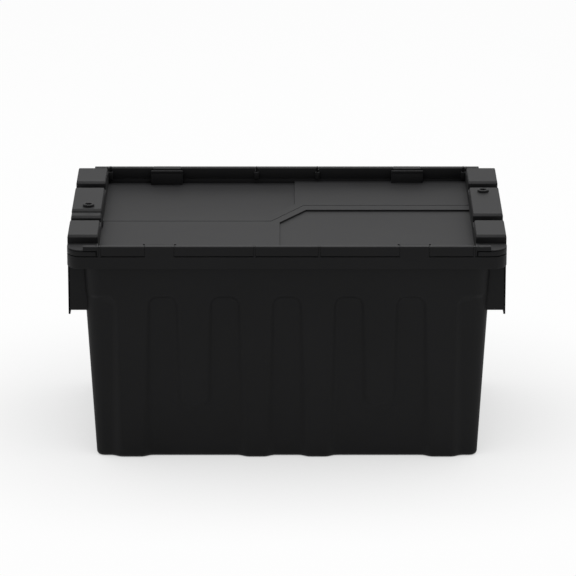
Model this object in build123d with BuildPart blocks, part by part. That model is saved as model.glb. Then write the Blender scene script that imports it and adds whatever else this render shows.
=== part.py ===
from build123d import *
from math import atan2, degrees, sqrt
import os

# Attached-lid storage tote: a tapered, nesting box with two hinged lid halves that meet
# along a stepped line. Millimetres, +Z up, origin on the floor under the middle of the box,
# long side along X, front long side facing -Y.

# Overall sizes
length = 600.0
width = 400.0
rim_corner_radius = 22.0
wall = 2.6
merge = 1.0  # how far joined forms run into each other, and cutters past what they cut

# Levels, from the floor up
foot_height = 2.5
floor_thickness = 3.0
rim_bottom = 282.0
deck_top = 285.0
rim_top = 299.0
lip_bottom = 300.0
end_deck_top = 309.0
lip_top = 314.0
rail_top = 321.0

# Tapered tub: overhang of the rim past the ribs, spread of the walls from base to rim,
# and how far the ribs stand out from the panels between them at the base
end_overhang = 24.0
side_overhang = 15.0
rib_spread = 12.0
panel_spread = 15.0
rib_standout = 7.0
tub_corner_radius = 24.0
base_edge_chamfer = 6.0
foot_ring_width = 40.0
foot_bar_count = 2
foot_bar_pitch = 160.0

# Channels between the outward ribs of the walls
rib_pitch = 85.0
channel_count = 5
end_rib_pitch = 92.0
end_channel_count = 3
channel_top = 236.0
channel_top_half = 19.0
channel_base_half = 24.0
channel_foot = -10.0
channel_round = 13.0
short_rib_end = 76.0
short_rib_round = 15.0

# Hand grips under the rim at both short ends
grip_half_length = 165.0
grip_bottom = 213.0
grip_lip_drop = 6.5
grip_wall = 2.6
grip_inner_web = 78.0
hand_gap_half = 66.0
hand_gap_top = 240.0
hand_gap_round = 18.0

# Hinges along both long edges
hinge_inset = 3.0
hinge_height = 307.6
wire_diameter = 3.0
wire_end_inset = 9.5
bore_clearance = 0.05
post_center = 173.5
post_length = 40.0
post_depth = 12.0
middle_fin = 44.0
end_fin_inset = 45.0
fin_thickness = 3.0
fin_depth = 6.0
knuckle_gap = 1.0

# Lid halves
lip_thickness = 8.5
lip_end_inset = 22.5
lip_chamfer = 1.8
lip_round = 1.2
lid_thickness = 2.5
lid_gap = 1.5
lid_wall_inset = 44.0
end_deck_thickness = 3.0
skirt_bottom = 303.0
skirt_rest_gap = 0.3
skirt_rest_half = 150.0
pocket_gap = 2.4
pocket_wall = 2.4
pocket_wall_top = 308.0
slit_clearance = 3.0
lid_rib_pitch = 85.0
lid_rib_depth = 8.0
lid_rib_thickness = 1.8
lid_rib_setback = 6.0
mouth_clearance = 5.0

# Stepped line where the halves meet: its y on the left and right of the step, the x where
# the step starts and ends, and the y where the end decks part
joint_left = -11.0
joint_right = 46.0
joint_step = (-10.0, 27.0)
split_left = -45.5
split_right = 68.5
joint_flange_width = 25.0
joint_flange_rise = 0.8
joint_flange_lead = 14.0

# The lids' floors lie below the lips and have a low and a high level, parted by a seam
panel_drop = 20.0
front_level_step = 2.6
rear_level_step = 3.0
front_seam_x = -10.0
rear_seam_x = 11.0

# Stacking rails on the ends of the lids
outer_rail_inset = 31.5
outer_rail_length = 74.0
middle_rail_end = 67.0
rail_corner = 4.0
rail_bevel = 3.4
rail_wall = 2.5
stub_drop = 3.0

# Seal holes through the rails, and below them through the body's end decks
seal_inset = 23.0
seal_y_left = -28.0
seal_y_right = 44.0
seal_hole_diameter = 9.0
seal_boss_diameter = 16.0
seal_boss_height = 3.5
seal_tail_shift = 8.0

# Sizes and places that follow from those above
rib_base_half = (length / 2 - end_overhang - rib_spread, width / 2 - side_overhang - rib_spread)
panel_base_half = (rib_base_half[0] - rib_standout, rib_base_half[1] - rib_standout)
mouth_half = (length / 2 - end_overhang - wall, width / 2 - side_overhang - wall)
mouth_corner_radius = tub_corner_radius + rib_spread - wall
cavity_floor = foot_height + floor_thickness
corner_start = ((channel_count + 1) / 2 * rib_pitch - channel_top_half,
                end_channel_count / 2 * end_rib_pitch)
hinge_y = width / 2 - hinge_inset
bore_radius = wire_diameter / 2 + bore_clearance
fin_positions = (middle_fin, length / 2 - end_fin_inset)
grip_web_positions = (grip_inner_web, grip_half_length - grip_wall / 2)
lip_half_length = length / 2 - lip_end_inset
lip_inner_y = width / 2 - lip_thickness
wire_length = 2 * (lip_half_length - wire_end_inset)
wall_x = length / 2 - lid_wall_inset
wall_outer_x = wall_x + lid_thickness
free_x = wall_x - lid_gap / 2
panel_level = lip_top - panel_drop
seal_x = length / 2 - seal_inset


def spread_evenly(count, pitch):
    """Places along a line, a pitch apart, with their middle at zero."""
    return [(index - (count - 1) / 2) * pitch for index in range(count)]


def channel_outline(count, pitch, edge, plane, grow):
    """Side view of the hollows between a wall's ribs and beside its outer ribs, widened by grow."""
    top = channel_top + grow
    narrow, wide = channel_top_half + grow, channel_base_half + grow
    beyond = length / 2
    with BuildSketch(plane) as outline:
        for center in spread_evenly(count, pitch):
            with Locations((center, 0)):
                Polygon((-wide, channel_foot), (wide, channel_foot), (narrow, top), (-narrow, top),
                        align=None)
        for side in (1, -1):
            with Locations((side * (edge - grow + beyond / 2), (top + channel_foot) / 2)):
                Rectangle(beyond, top - channel_foot)
        corners = outline.vertices().group_by(Axis.Y)[-1]
        if grow:
            # Inside the tub a slope passes through the middle of the round
            chamfer(corners, channel_round * (2 - sqrt(2)))
        else:
            fillet(corners, channel_round)
    return outline.sketch


def long_wall_outline(grow):
    """Hollows of a long wall, joined under its two short ribs, whose lower ends are round."""
    end = short_rib_end + grow
    with BuildSketch(Plane.XZ) as outline:
        add(channel_outline(channel_count, rib_pitch, corner_start[0], Plane.XY, grow))
        for side in (1, -1):
            with Locations((side * 1.5 * rib_pitch, channel_foot)):
                Rectangle(rib_pitch, end - channel_foot, align=(Align.CENTER, Align.MIN))
        fillet(outline.vertices().filter_by(lambda v: abs(v.Y - end) < 0.01), short_rib_round - grow)
    return outline.sketch


def wall_channels(grow):
    """Cutters for the hollows between the ribs of all four walls, widened by grow."""
    with BuildPart() as channels:
        for side in (1, -1):
            reach = side * (corner_start[1] - grow)
            extrude(long_wall_outline(grow).moved(Location((0, reach, 0))), amount=-side * width / 2)
        end_outline = channel_outline(end_channel_count, end_rib_pitch, corner_start[1], Plane.YZ, grow)
        for side in (1, -1):
            reach = side * (corner_start[0] - grow)
            extrude(end_outline.moved(Location((reach, 0, 0))), amount=side * length / 2)
    return channels.part


def tapered_block(base_half, spread, inset, bottom):
    """Rounded block that widens by spread from the base to the rim, drawn in by inset."""
    grown = spread * bottom / rim_bottom - inset
    with BuildPart() as block:
        with BuildSketch(Plane.XY.offset(bottom)):
            RectangleRounded(2 * (base_half[0] + grown), 2 * (base_half[1] + grown),
                             tub_corner_radius + grown)
        extrude(amount=rim_bottom - bottom, taper=-degrees(atan2(spread, rim_bottom)))
        # Drawn in so that the wall stays as thick across the slope as beside it
        chamfer(block.edges().group_by(Axis.Z)[0], base_edge_chamfer - (2 - sqrt(2)) * inset)
    return block.part


def tub_form(inset, bottom):
    """Outer form of the tub, or its cavity when drawn in by the wall."""
    with BuildPart() as form:
        add(tapered_block(rib_base_half, rib_spread, inset, bottom))
        add(wall_channels(inset), mode=Mode.SUBTRACT)
        add(tapered_block(panel_base_half, panel_spread, inset, bottom))
    return form.part


def foot_hollow():
    """Shallow hollow under the floor, inside the foot ring, with bars across it."""
    with BuildPart() as hollow:
        with BuildSketch(Plane.XY):
            RectangleRounded(2 * (panel_base_half[0] - foot_ring_width),
                             2 * (panel_base_half[1] - foot_ring_width), tub_corner_radius)
            with GridLocations(foot_bar_pitch, 1, foot_bar_count, 1):
                Rectangle(wall, width, mode=Mode.SUBTRACT)
            Rectangle(length, wall, mode=Mode.SUBTRACT)
        extrude(amount=foot_height)
    return hollow.part


def hand_grip(side):
    """Grip under the rim at one end: a skirt on webs, open below, with a gap for the fingers."""
    full_drop = rim_bottom - grip_bottom + grip_lip_drop
    with BuildPart() as grip:
        with BuildSketch(Plane.YZ.offset(side * length / 2)) as skirt:
            with Locations((0, rim_bottom)):
                Rectangle(2 * grip_half_length, full_drop, align=(Align.CENTER, Align.MAX))
            with Locations((0, hand_gap_top)):
                Rectangle(2 * hand_gap_half, full_drop, align=(Align.CENTER, Align.MAX),
                          mode=Mode.SUBTRACT)
            fillet(skirt.vertices().filter_by(lambda v: abs(v.Y - hand_gap_top) < 0.01), hand_gap_round)
        extrude(amount=-side * grip_wall)
        with BuildSketch(Plane.XY.offset(grip_bottom)):
            for web in grip_web_positions:
                for end in (1, -1):
                    with Locations((side * (length / 2 - grip_wall / 2), end * web)):
                        Rectangle(length / 2 - panel_base_half[0] + wall, grip_wall,
                                  align=(Align.MAX if side > 0 else Align.MIN, Align.CENTER))
        extrude(amount=rim_bottom - grip_bottom)
    return grip.part


def hinge_carriers(side):
    """Posts and fins on the rim that hold the hinge wire of one long edge."""
    with BuildPart() as carriers:
        for end in (1, -1):
            with BuildSketch(Plane.XY.offset(rim_bottom)):
                with Locations((end * post_center, side * (width - post_depth) / 2)):
                    Rectangle(post_length, post_depth)
                for fin in fin_positions:
                    with Locations((end * fin, side * (width - fin_depth) / 2)):
                        Rectangle(fin_thickness, fin_depth)
            extrude(amount=lip_top - rim_bottom)
            with BuildSketch(Plane.XY.offset(rim_bottom)):
                with Locations((end * post_center, side * (width - post_depth) / 2)):
                    Rectangle(post_length - 2 * wall, post_depth - 2 * wall)
            extrude(amount=lip_top - rim_bottom - wall, mode=Mode.SUBTRACT)
        with BuildSketch(Plane.YZ.offset(-length / 2)):
            with Locations((side * hinge_y, hinge_height)):
                Circle(bore_radius)
        extrude(amount=length, mode=Mode.SUBTRACT)
    return carriers.part


# Body: tub, rim, hand grips, hinge posts and hinge fins in one moulding
with BuildPart() as tote_body:
    # Rim: a flat deck and an upright outer band
    with BuildSketch(Plane.XY.offset(rim_bottom)):
        RectangleRounded(length, width, rim_corner_radius)
    extrude(amount=rim_top - rim_bottom)
    with BuildSketch(Plane.XY.offset(deck_top)):
        RectangleRounded(length - 2 * wall, width - 2 * wall, rim_corner_radius - wall)
    extrude(amount=rim_top - deck_top, mode=Mode.SUBTRACT)
    for face in (1, -1):
        add(hand_grip(face))
        add(hinge_carriers(face))
    # Tub with its cavity, its mouth through the deck and the hollow inside the foot ring
    add(tub_form(0.0, 0.0))
    add(tub_form(wall, cavity_floor), mode=Mode.SUBTRACT)
    with BuildSketch(Plane.XY.offset(rim_bottom)):
        RectangleRounded(2 * mouth_half[0], 2 * mouth_half[1], mouth_corner_radius)
    extrude(amount=deck_top - rim_bottom + merge, mode=Mode.SUBTRACT)
    add(foot_hollow(), mode=Mode.SUBTRACT)
    # Seal holes through the end decks, under those of the lids
    with BuildSketch(Plane.XY.offset(rim_bottom)):
        with Locations((-seal_x - seal_tail_shift, seal_y_left), (seal_x + seal_tail_shift, seal_y_right)):
            Circle(seal_hole_diameter / 2)
    extrude(amount=deck_top - rim_bottom, mode=Mode.SUBTRACT)


def hinge_line(depth_from, depth_to, low, high, spans):
    """Boxes along the hinge, from one x to another for each span, between two depths and levels."""
    with BuildPart() as boxes:
        for start, end in spans:
            with BuildSketch(Plane.XY.offset(low)):
                with Locations(((start + end) / 2, (depth_from + depth_to) / 2)):
                    Rectangle(end - start, depth_to - depth_from)
            extrude(amount=high - low)
    return boxes.part


def lid_floor(edge, step, seam_x, levels, right_end, flanged):
    """Floor of a lid half in two levels, the high one hollow from below.

    edge: the free edge's y left and right of the step; step: the x where the step starts and
    ends; seam_x: where the high level starts; levels: top of the low and of the high level;
    right_end: where the right end deck stops; flanged: whether a raised border runs beside the
    free edge of the high level.
    """
    low, high = levels
    under = low - lid_thickness
    left_edge, right_edge = edge
    high_zone = [(step[1], right_edge), (free_x, right_edge), (free_x, right_end),
                 (wall_outer_x, right_end), (wall_outer_x, lip_inner_y), (seam_x, lip_inner_y),
                 (seam_x, right_edge)]
    with BuildPart() as floor:
        with BuildSketch(Plane.XY.offset(under)):
            Polygon((-wall_outer_x, left_edge), (step[0], left_edge), (step[1], right_edge),
                    (free_x, right_edge), (free_x, right_end), (wall_outer_x, right_end),
                    (wall_outer_x, lip_inner_y + merge), (-wall_outer_x, lip_inner_y + merge),
                    align=None)
        extrude(amount=low - under)
        with BuildSketch(Plane.XY.offset(under)):
            with BuildLine():
                Polyline(*high_zone, close=True)
            make_face()
        extrude(amount=high - under)
        if flanged:
            slope = (step[1] - step[0]) / (right_edge - left_edge)
            inner = right_edge + joint_flange_width
            start = step[0] - joint_flange_lead
            with BuildSketch(Plane.XY.offset(under)):
                Polygon((start, left_edge), (step[0], left_edge), (step[1], right_edge),
                        (free_x, right_edge), (free_x, inner),
                        (start + (inner - left_edge) * slope, inner), align=None)
            extrude(amount=high + joint_flange_rise - under)
        with BuildSketch(Plane.XY.offset(under)):
            with BuildLine():
                Polyline(*high_zone, close=True)
            make_face()
            offset(amount=-lid_thickness, kind=Kind.INTERSECTION)
        extrude(amount=high - low, mode=Mode.SUBTRACT)
    return floor.part


def lid_lip(under):
    """Lip along the hinge edge, with a wall down to the floor that ends with the floor."""
    with BuildPart() as lip_block:
        with BuildSketch(Plane.YZ.offset(-lip_half_length)) as lip:
            with BuildLine():
                Polyline((lip_inner_y, under), (lip_inner_y + lid_thickness, under),
                         (lip_inner_y + lid_thickness, lip_bottom), (width / 2, lip_bottom),
                         (width / 2, lip_top), (lip_inner_y, lip_top), close=True)
            make_face()
            top_corners = lip.vertices().filter_by(lambda v: abs(v.Y - lip_top) < 0.01)
            chamfer(top_corners.sort_by(Axis.X)[0], lip_chamfer)
            outer_corners = lip.vertices().filter_by(lambda v: abs(v.Y - lip_top) < 0.01)
            fillet(outer_corners.sort_by(Axis.X)[-1], lip_round)
        extrude(amount=2 * lip_half_length)
        add(hinge_line(lip_inner_y - merge, lip_inner_y + lid_thickness + merge, under - merge,
                       end_deck_top - end_deck_thickness,
                       ((-lip_half_length - merge, -wall_outer_x), (wall_outer_x, lip_half_length + merge))),
            mode=Mode.SUBTRACT)
    return lip_block.part


def end_deck(side, end):
    """Deck over one end of the rim from its y end to the hinge, with a skirt round the outside."""
    under_deck = end_deck_top - end_deck_thickness
    with BuildPart() as deck:
        with BuildSketch(Plane.XY.offset(skirt_bottom)):
            RectangleRounded(length, width, rim_corner_radius)
            with Locations((side * (wall_x + length), 0)):
                Rectangle(2 * length, width, mode=Mode.INTERSECT)
            with Locations((side * length / 2, end)):
                Rectangle(length, width, align=(Align.CENTER, Align.MIN), mode=Mode.INTERSECT)
        extrude(amount=end_deck_top - skirt_bottom)
        with BuildSketch(Plane.XY.offset(skirt_bottom)):
            RectangleRounded(length - 2 * lid_thickness, width - 2 * lid_thickness,
                             rim_corner_radius - lid_thickness)
            with Locations((side * (wall_outer_x + length), 0)):
                Rectangle(2 * length, width, mode=Mode.INTERSECT)
            with Locations((side * length / 2, end - merge)):
                Rectangle(length, width, align=(Align.CENTER, Align.MIN), mode=Mode.INTERSECT)
        extrude(amount=under_deck - skirt_bottom, mode=Mode.SUBTRACT)
        # The skirt reaches down to the rim along the middle of the end
        with BuildSketch(Plane.XY.offset(rim_top + skirt_rest_gap)):
            with Locations((side * (length - lid_thickness) / 2, (end + skirt_rest_half) / 2)):
                Rectangle(lid_thickness, skirt_rest_half - end)
        extrude(amount=under_deck - rim_top)
    return deck.part


def stacking_rails(rails):
    """Blocks on the end decks, each given as its side, y from and to, and top level."""
    with BuildPart() as blocks:
        for side, start, end, top in rails:
            with BuildSketch(Plane.XY.offset(end_deck_top - merge)) as footprint:
                with Locations((side * (wall_x + length / 2) / 2, (start + end) / 2)):
                    Rectangle(length / 2 - wall_x, end - start)
                chamfer(footprint.vertices(), rail_corner)
            block = extrude(amount=top - end_deck_top + merge)
            chamfer(block.edges().group_by(Axis.Z)[-1], rail_bevel)
    return blocks.part


def rail_hollows(rails):
    """Hollows of the stacking rails, open below."""
    with BuildPart() as hollows:
        for side, start, end, top in rails:
            with BuildSketch(Plane.XY.offset(lip_bottom)):
                with Locations((side * (wall_x + length / 2) / 2, (start + end) / 2)):
                    Rectangle(length / 2 - wall_x - 2 * rail_wall, end - start - 2 * rail_wall)
            extrude(amount=top - rail_bevel - lip_bottom)
    return hollows.part


def lid_half(edge, step, seam_x, levels, deck_ends, boss_y, flanged, stubbed):
    """One lid half with its hinge along +Y.

    edge, step, seam_x, levels, flanged: as in lid_floor; deck_ends: where the end decks stop
    on the left and right; boss_y: place of the seal hole on the left; stubbed: whether a short,
    lower end of the other half's rail stands on the right.
    """
    under = levels[0] - lid_thickness
    left_end, right_end = deck_ends
    outer_rail = (width / 2 - outer_rail_inset - outer_rail_length, width / 2 - outer_rail_inset)
    with BuildPart() as lid:
        add(lid_floor(edge, step, seam_x, levels, right_end, flanged))
        # Walls at both ends of the floor
        with BuildSketch(Plane.XY.offset(under)):
            for side, end in ((-1, left_end), (1, right_end)):
                with Locations((side * (wall_x + lid_thickness / 2), (end + lip_inner_y + merge) / 2)):
                    Rectangle(lid_thickness, lip_inner_y + merge - end)
        extrude(amount=end_deck_top - under)
        add(lid_lip(under))
        add(end_deck(-1, left_end))
        add(end_deck(1, right_end))
        rails = [(side, *outer_rail, rail_top) for side in (-1, 1)]
        rails.append((-1, left_end, middle_rail_end, rail_top))
        if stubbed:
            rails.append((1, right_end, middle_rail_end, rail_top - stub_drop))
        add(stacking_rails(rails))
        add(rail_hollows(rails), mode=Mode.SUBTRACT)
        # Seal hole in a raised ring
        with BuildSketch(Plane.XY.offset(rail_top - rail_bevel)):
            with Locations((-seal_x, boss_y)):
                Circle(seal_boss_diameter / 2)
        extrude(amount=seal_boss_height + rail_bevel)
        with BuildSketch(Plane.XY.offset(lip_bottom)):
            with Locations((-seal_x, boss_y)):
                Circle(seal_hole_diameter / 2)
        extrude(amount=length / 2, mode=Mode.SUBTRACT)
        # Pockets that let the lid swing round the hinge posts, and slits for the fins
        post_half = post_length / 2 + knuckle_gap
        pocket_y = width / 2 - post_depth - pocket_gap
        posts = [(side * post_center - post_half, side * post_center + post_half) for side in (-1, 1)]
        rims = [(start - pocket_wall, end + pocket_wall) for start, end in posts]
        add(hinge_line(pocket_y - pocket_wall, lip_inner_y + merge, under, pocket_wall_top, rims))
        add(hinge_line(pocket_y, width, under - merge, rail_top, posts), mode=Mode.SUBTRACT)
        fin_half = fin_thickness / 2 + knuckle_gap
        fins = [(side * fin - fin_half, side * fin + fin_half) for fin in fin_positions for side in (-1, 1)]
        add(hinge_line(lip_inner_y - slit_clearance, width, lip_bottom - slit_clearance, rail_top, fins),
            mode=Mode.SUBTRACT)
        # Bore for the hinge wire
        with BuildSketch(Plane.YZ.offset(-length / 2)):
            with Locations((hinge_y, hinge_height)):
                Circle(bore_radius)
        extrude(amount=length, mode=Mode.SUBTRACT)
        # Stiffening ribs under the floor, clear of the mouth of the body
        back = mouth_half[1] - mouth_clearance
        front = max(edge) + lid_rib_setback
        reach = wall_x - lid_rib_setback
        with BuildSketch(Plane.XY.offset(under - lid_rib_depth)):
            with Locations((0, back), (0, (back + front) / 2), (0, front)):
                Rectangle(2 * reach, lid_rib_thickness)
            for place in spread_evenly(channel_count, lid_rib_pitch):
                with Locations((place, (back + front) / 2)):
                    Rectangle(lid_rib_thickness, back - front)
            with Locations((-reach / 2, min(edge) + lid_rib_setback)):
                Rectangle(reach + 2 * min(step[0], 0), lid_rib_thickness)
        extrude(amount=lid_rib_depth + merge / 2)
    return lid.part


half_gap = lid_gap / 2

with BuildPart() as rear_lid:
    add(lid_half(edge=(joint_left + half_gap, joint_right + half_gap), step=joint_step,
                 seam_x=rear_seam_x, levels=(panel_level - rear_level_step, panel_level),
                 deck_ends=(split_left + half_gap, split_right + half_gap),
                 boss_y=seal_y_left, flanged=True, stubbed=False))

with BuildPart() as front_lid:
    turned = lid_half(edge=(half_gap - joint_right, half_gap - joint_left),
                      step=(-joint_step[1], -joint_step[0]), seam_x=-front_seam_x,
                      levels=(panel_level - front_level_step, panel_level),
                      deck_ends=(half_gap - split_right, half_gap - split_left),
                      boss_y=-seal_y_right, flanged=False, stubbed=True)
    add(turned.rotate(Axis.Z, 180))

with BuildPart() as rear_hinge_wire:
    with BuildSketch(Plane.YZ.offset(-wire_length / 2)):
        with Locations((hinge_y, hinge_height)):
            Circle(wire_diameter / 2)
    extrude(amount=wire_length)

with BuildPart() as front_hinge_wire:
    with BuildSketch(Plane.YZ.offset(-wire_length / 2)):
        with Locations((-hinge_y, hinge_height)):
            Circle(wire_diameter / 2)
    extrude(amount=wire_length)

tote_body.part.label = "tote_body"
rear_lid.part.label = "rear_lid"
front_lid.part.label = "front_lid"
rear_hinge_wire.part.label = "rear_hinge_wire"
front_hinge_wire.part.label = "front_hinge_wire"

os.makedirs("parts", exist_ok=True)
export_step(tote_body.part, "parts/tote_body.step")
export_step(rear_lid.part, "parts/rear_lid.step")
export_step(front_lid.part, "parts/front_lid.step")
export_step(rear_hinge_wire.part, "parts/rear_hinge_wire.step")
export_step(front_hinge_wire.part, "parts/front_hinge_wire.step")
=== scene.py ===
"""Looks of the attached-lid storage tote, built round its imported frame.

The Blender scene is in metres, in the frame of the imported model: the origin lies on the floor
under the middle of the box, X runs along its long side, and the front long side faces -Y. The
classes below hold the tote's sizes in millimetres, as its maker's drawing would, and a Moulding
turns them into metres when it becomes a mesh. Solids of one moulding run LAP into each other.
"""

import logging
import math
from dataclasses import dataclass, field
from enum import Enum

import bpy
import numpy as np
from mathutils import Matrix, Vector
from mathutils.geometry import tessellate_polygon


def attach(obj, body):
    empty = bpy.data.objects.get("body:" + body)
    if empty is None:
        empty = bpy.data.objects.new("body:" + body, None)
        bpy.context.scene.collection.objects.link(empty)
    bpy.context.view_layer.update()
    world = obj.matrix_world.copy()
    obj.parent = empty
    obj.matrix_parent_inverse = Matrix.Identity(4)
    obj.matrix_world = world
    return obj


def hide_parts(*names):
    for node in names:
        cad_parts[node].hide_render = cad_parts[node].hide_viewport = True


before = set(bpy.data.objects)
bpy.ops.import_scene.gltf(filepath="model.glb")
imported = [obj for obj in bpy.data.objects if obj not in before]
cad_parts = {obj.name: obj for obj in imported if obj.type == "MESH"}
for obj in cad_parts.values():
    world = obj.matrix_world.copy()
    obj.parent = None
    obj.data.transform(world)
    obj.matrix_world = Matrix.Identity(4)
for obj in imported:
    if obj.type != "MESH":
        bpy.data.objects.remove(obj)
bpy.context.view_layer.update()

log = logging.getLogger("tote")

Array = np.ndarray
Corners = list[tuple[float, float]]
MM = 0.001
SHARP_ANGLE = math.radians(38.0)
LEAST_RADIUS = 0.1
LEAST_AREA = 1e-9
EDGE_STEPS = 4
FOOT_CUT = 0.3
LAP = 1.0


class Nodes:
    """A node tree under construction."""

    def __init__(self, owner: bpy.types.Material | bpy.types.World) -> None:
        owner.use_nodes = True
        self.tree = owner.node_tree

    def __getitem__(self, name: str) -> bpy.types.Node:
        """One of the nodes that the tree starts with."""
        return self.tree.nodes[name]

    def add(self, kind: str, inputs: dict | None = None, **settings: object) -> bpy.types.NodeOutputs:
        """Adds a node.

        Args:
            kind: Type of the node.
            inputs: Its inputs by name or place, each a value or the socket that feeds it.
            **settings: Its other settings.

        Returns:
            The node's outputs.
        """
        node = self.tree.nodes.new(kind)
        for name, value in settings.items():
            setattr(node, name, value)
        self.feed(node, inputs or {})
        return node.outputs

    def feed(self, node: bpy.types.Node, inputs: dict) -> None:
        """Sets a node's inputs, each to a value or to the socket that feeds it."""
        for name, value in inputs.items():
            if isinstance(value, bpy.types.NodeSocket):
                self.tree.links.new(value, node.inputs[name])
            else:
                node.inputs[name].default_value = value

    def sheen(self, source: bpy.types.NodeSocket, span: tuple[float, float]) -> bpy.types.NodeSocket:
        """Roughness that runs over a span as the source runs from 0 to 1."""
        return self.add("ShaderNodeMapRange", {"To Min": span[0], "To Max": span[1],
                                               "Value": source})["Result"]


def link_object(name: str, data: bpy.types.ID) -> bpy.types.Object:
    """Puts a mesh, lamp or camera into the scene as an object."""
    thing = bpy.data.objects.new(name, data)
    bpy.context.collection.objects.link(thing)
    return thing


def grey(tone: float) -> tuple[float, float, float, float]:
    """Opaque grey of one tone."""
    return (tone, tone, tone, 1.0)


# Finishes


@dataclass(frozen=True)
class MouldedPlastic:
    """Black injection-moulded plastic with a fine spark-eroded grain and a soft sheen.

    Colour and sheen drift a little over the moulding, edges catch the light as if slightly round,
    and the grain only shows close to.
    """

    name: str
    colour: tuple[float, float, float] = (0.0062, 0.0062, 0.0066)
    lighter: tuple[float, float, float] = (0.0090, 0.0090, 0.0096)
    drift_scale: float = 9.0
    drift_span: tuple[float, float] = (0.35, 0.75)
    roughness: tuple[float, float] = (0.51, 0.62)
    specular: float = 0.15
    grain_scale: float = 1400.0
    grain_depth: float = 0.00005
    grain_strength: float = 0.35
    edge_radius: float = 0.0006

    def build(self) -> bpy.types.Material:
        """Builds the node material.

        Returns:
            The material, with its patterns on Object coordinates.
        """
        material = bpy.data.materials.new(self.name)
        nodes = Nodes(material)
        place = nodes.add("ShaderNodeTexCoord")["Object"]
        drift = nodes.add("ShaderNodeTexNoise", {"Scale": self.drift_scale, "Detail": 4.0,
                                                 "Vector": place})["Fac"]
        tint = nodes.add("ShaderNodeValToRGB", {"Fac": drift})["Color"]
        for stop, position, colour in zip(tint.node.color_ramp.elements, self.drift_span,
                                          (self.colour, self.lighter)):
            stop.position = position
            stop.color = (*colour, 1.0)
        grain = nodes.add("ShaderNodeTexNoise", {"Scale": self.grain_scale, "Detail": 2.0,
                                                 "Vector": place})["Fac"]
        soft_edge = nodes.add("ShaderNodeBevel", {"Radius": self.edge_radius}, samples=4)["Normal"]
        bump = nodes.add("ShaderNodeBump", {"Strength": self.grain_strength, "Distance": self.grain_depth,
                                            "Height": grain, "Normal": soft_edge})["Normal"]
        nodes.feed(nodes["Principled BSDF"], {
            "Base Color": tint, "Roughness": nodes.sheen(drift, self.roughness), "Normal": bump,
            "Specular IOR Level": self.specular})
        return material


@dataclass(frozen=True)
class DrawnWire:
    """Bright drawn steel wire, brushed along its length."""

    name: str
    colour: tuple[float, float, float] = (0.55, 0.56, 0.58)
    mark_scale: tuple[float, float, float] = (20.0, 3000.0, 3000.0)
    roughness: tuple[float, float] = (0.22, 0.42)

    def build(self) -> bpy.types.Material:
        """Builds the node material.

        Returns:
            The material, with draw marks stretched along X.
        """
        material = bpy.data.materials.new(self.name)
        nodes = Nodes(material)
        place = nodes.add("ShaderNodeTexCoord")["Object"]
        stretched = nodes.add("ShaderNodeMapping", {"Scale": self.mark_scale, "Vector": place})["Vector"]
        marks = nodes.add("ShaderNodeTexNoise", {"Scale": 1.0, "Vector": stretched})["Fac"]
        nodes.feed(nodes["Principled BSDF"], {
            "Base Color": (*self.colour, 1.0), "Metallic": 1.0,
            "Roughness": nodes.sheen(marks, self.roughness)})
        return material


# Mesh kit


class Raised(Enum):
    """Which way a plate is raised from its outline's plane, as the places that the axes shift.

    Outlines are drawn in the planes x y, y z and z x.
    """

    ALONG_Z = 0
    ALONG_X = 1
    ALONG_Y = -1


class Facing(Enum):
    """Which long side a lid half is hinged on: the front one is the rear one turned half round."""

    REAR = 1.0
    FRONT = -1.0


@dataclass
class Outline:
    """Closed outline, anticlockwise, whose corners are rounded by one radius or one radius each."""

    corners: Corners
    radius: float | list[float] = 0.8
    steps: int = 4

    def at(self, insets: Array) -> Array:
        """Points of the outline, drawn in by each inset.

        A corner is an arc that touches both its edges: its centre lies on the line that halves
        the corner, radius / sin(half angle) away. Drawing in shortens the radius of a convex
        corner and lengthens that of a concave one, and leaves its centre where it is.

        Args:
            insets: How far to draw in, one value for each ring.

        Returns:
            Array of rings by points by 2.
        """
        corners = np.asarray(self.corners, float)
        radius = np.broadcast_to(np.asarray(self.radius, float), len(corners))
        before = np.roll(corners, 1, axis=0) - corners
        after = np.roll(corners, -1, axis=0) - corners
        before /= np.linalg.norm(before, axis=1, keepdims=True)
        after /= np.linalg.norm(after, axis=1, keepdims=True)
        convex = np.where(before[:, 1] * after[:, 0] - before[:, 0] * after[:, 1] > 0, 1.0, -1.0)
        half = 0.5 * np.arccos(np.clip((before * after).sum(axis=1), -1.0, 1.0))
        middle = before + after
        middle /= np.linalg.norm(middle, axis=1, keepdims=True)
        center = corners + middle * (radius / np.sin(half))[:, None]
        start = corners + before * (radius / np.tan(half))[:, None] - center
        end = corners + after * (radius / np.tan(half))[:, None] - center
        first = np.arctan2(start[:, 1], start[:, 0])
        sweep = np.arctan2(end[:, 1], end[:, 0]) - first
        sweep = (sweep + np.pi) % (2 * np.pi) - np.pi
        angle = first[:, None] + sweep[:, None] * np.linspace(0.0, 1.0, self.steps)
        inset = np.asarray(insets, float)[:, None]
        reach = np.maximum(radius - convex * inset, LEAST_RADIUS)
        shift = np.where(convex > 0, (inset + reach - radius) / np.sin(half), 0.0)
        arc = np.stack([np.cos(angle), np.sin(angle)], axis=-1)
        points = (center + shift[..., None] * middle)[:, :, None, :] + reach[:, :, None, None] * arc
        return points.reshape(len(points), -1, 2)


def rectangle(x0: float, y0: float, x1: float, y1: float) -> Corners:
    """Corners of an upright rectangle, anticlockwise."""
    return [(x0, y0), (x1, y0), (x1, y1), (x0, y1)]


def centred_outline(half_x: float, half_y: float, radius: float, steps: int) -> Outline:
    """Outline of a rectangle about the middle of the tote, with rounded corners."""
    return Outline(rectangle(-half_x, -half_y, half_x, half_y), radius, steps)


def box_outline(x0: float, y0: float, x1: float, y1: float, radius: float = 0.8) -> Outline:
    """Outline of an upright rectangle with rounded corners."""
    return Outline(rectangle(x0, y0, x1, y1), radius)


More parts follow.
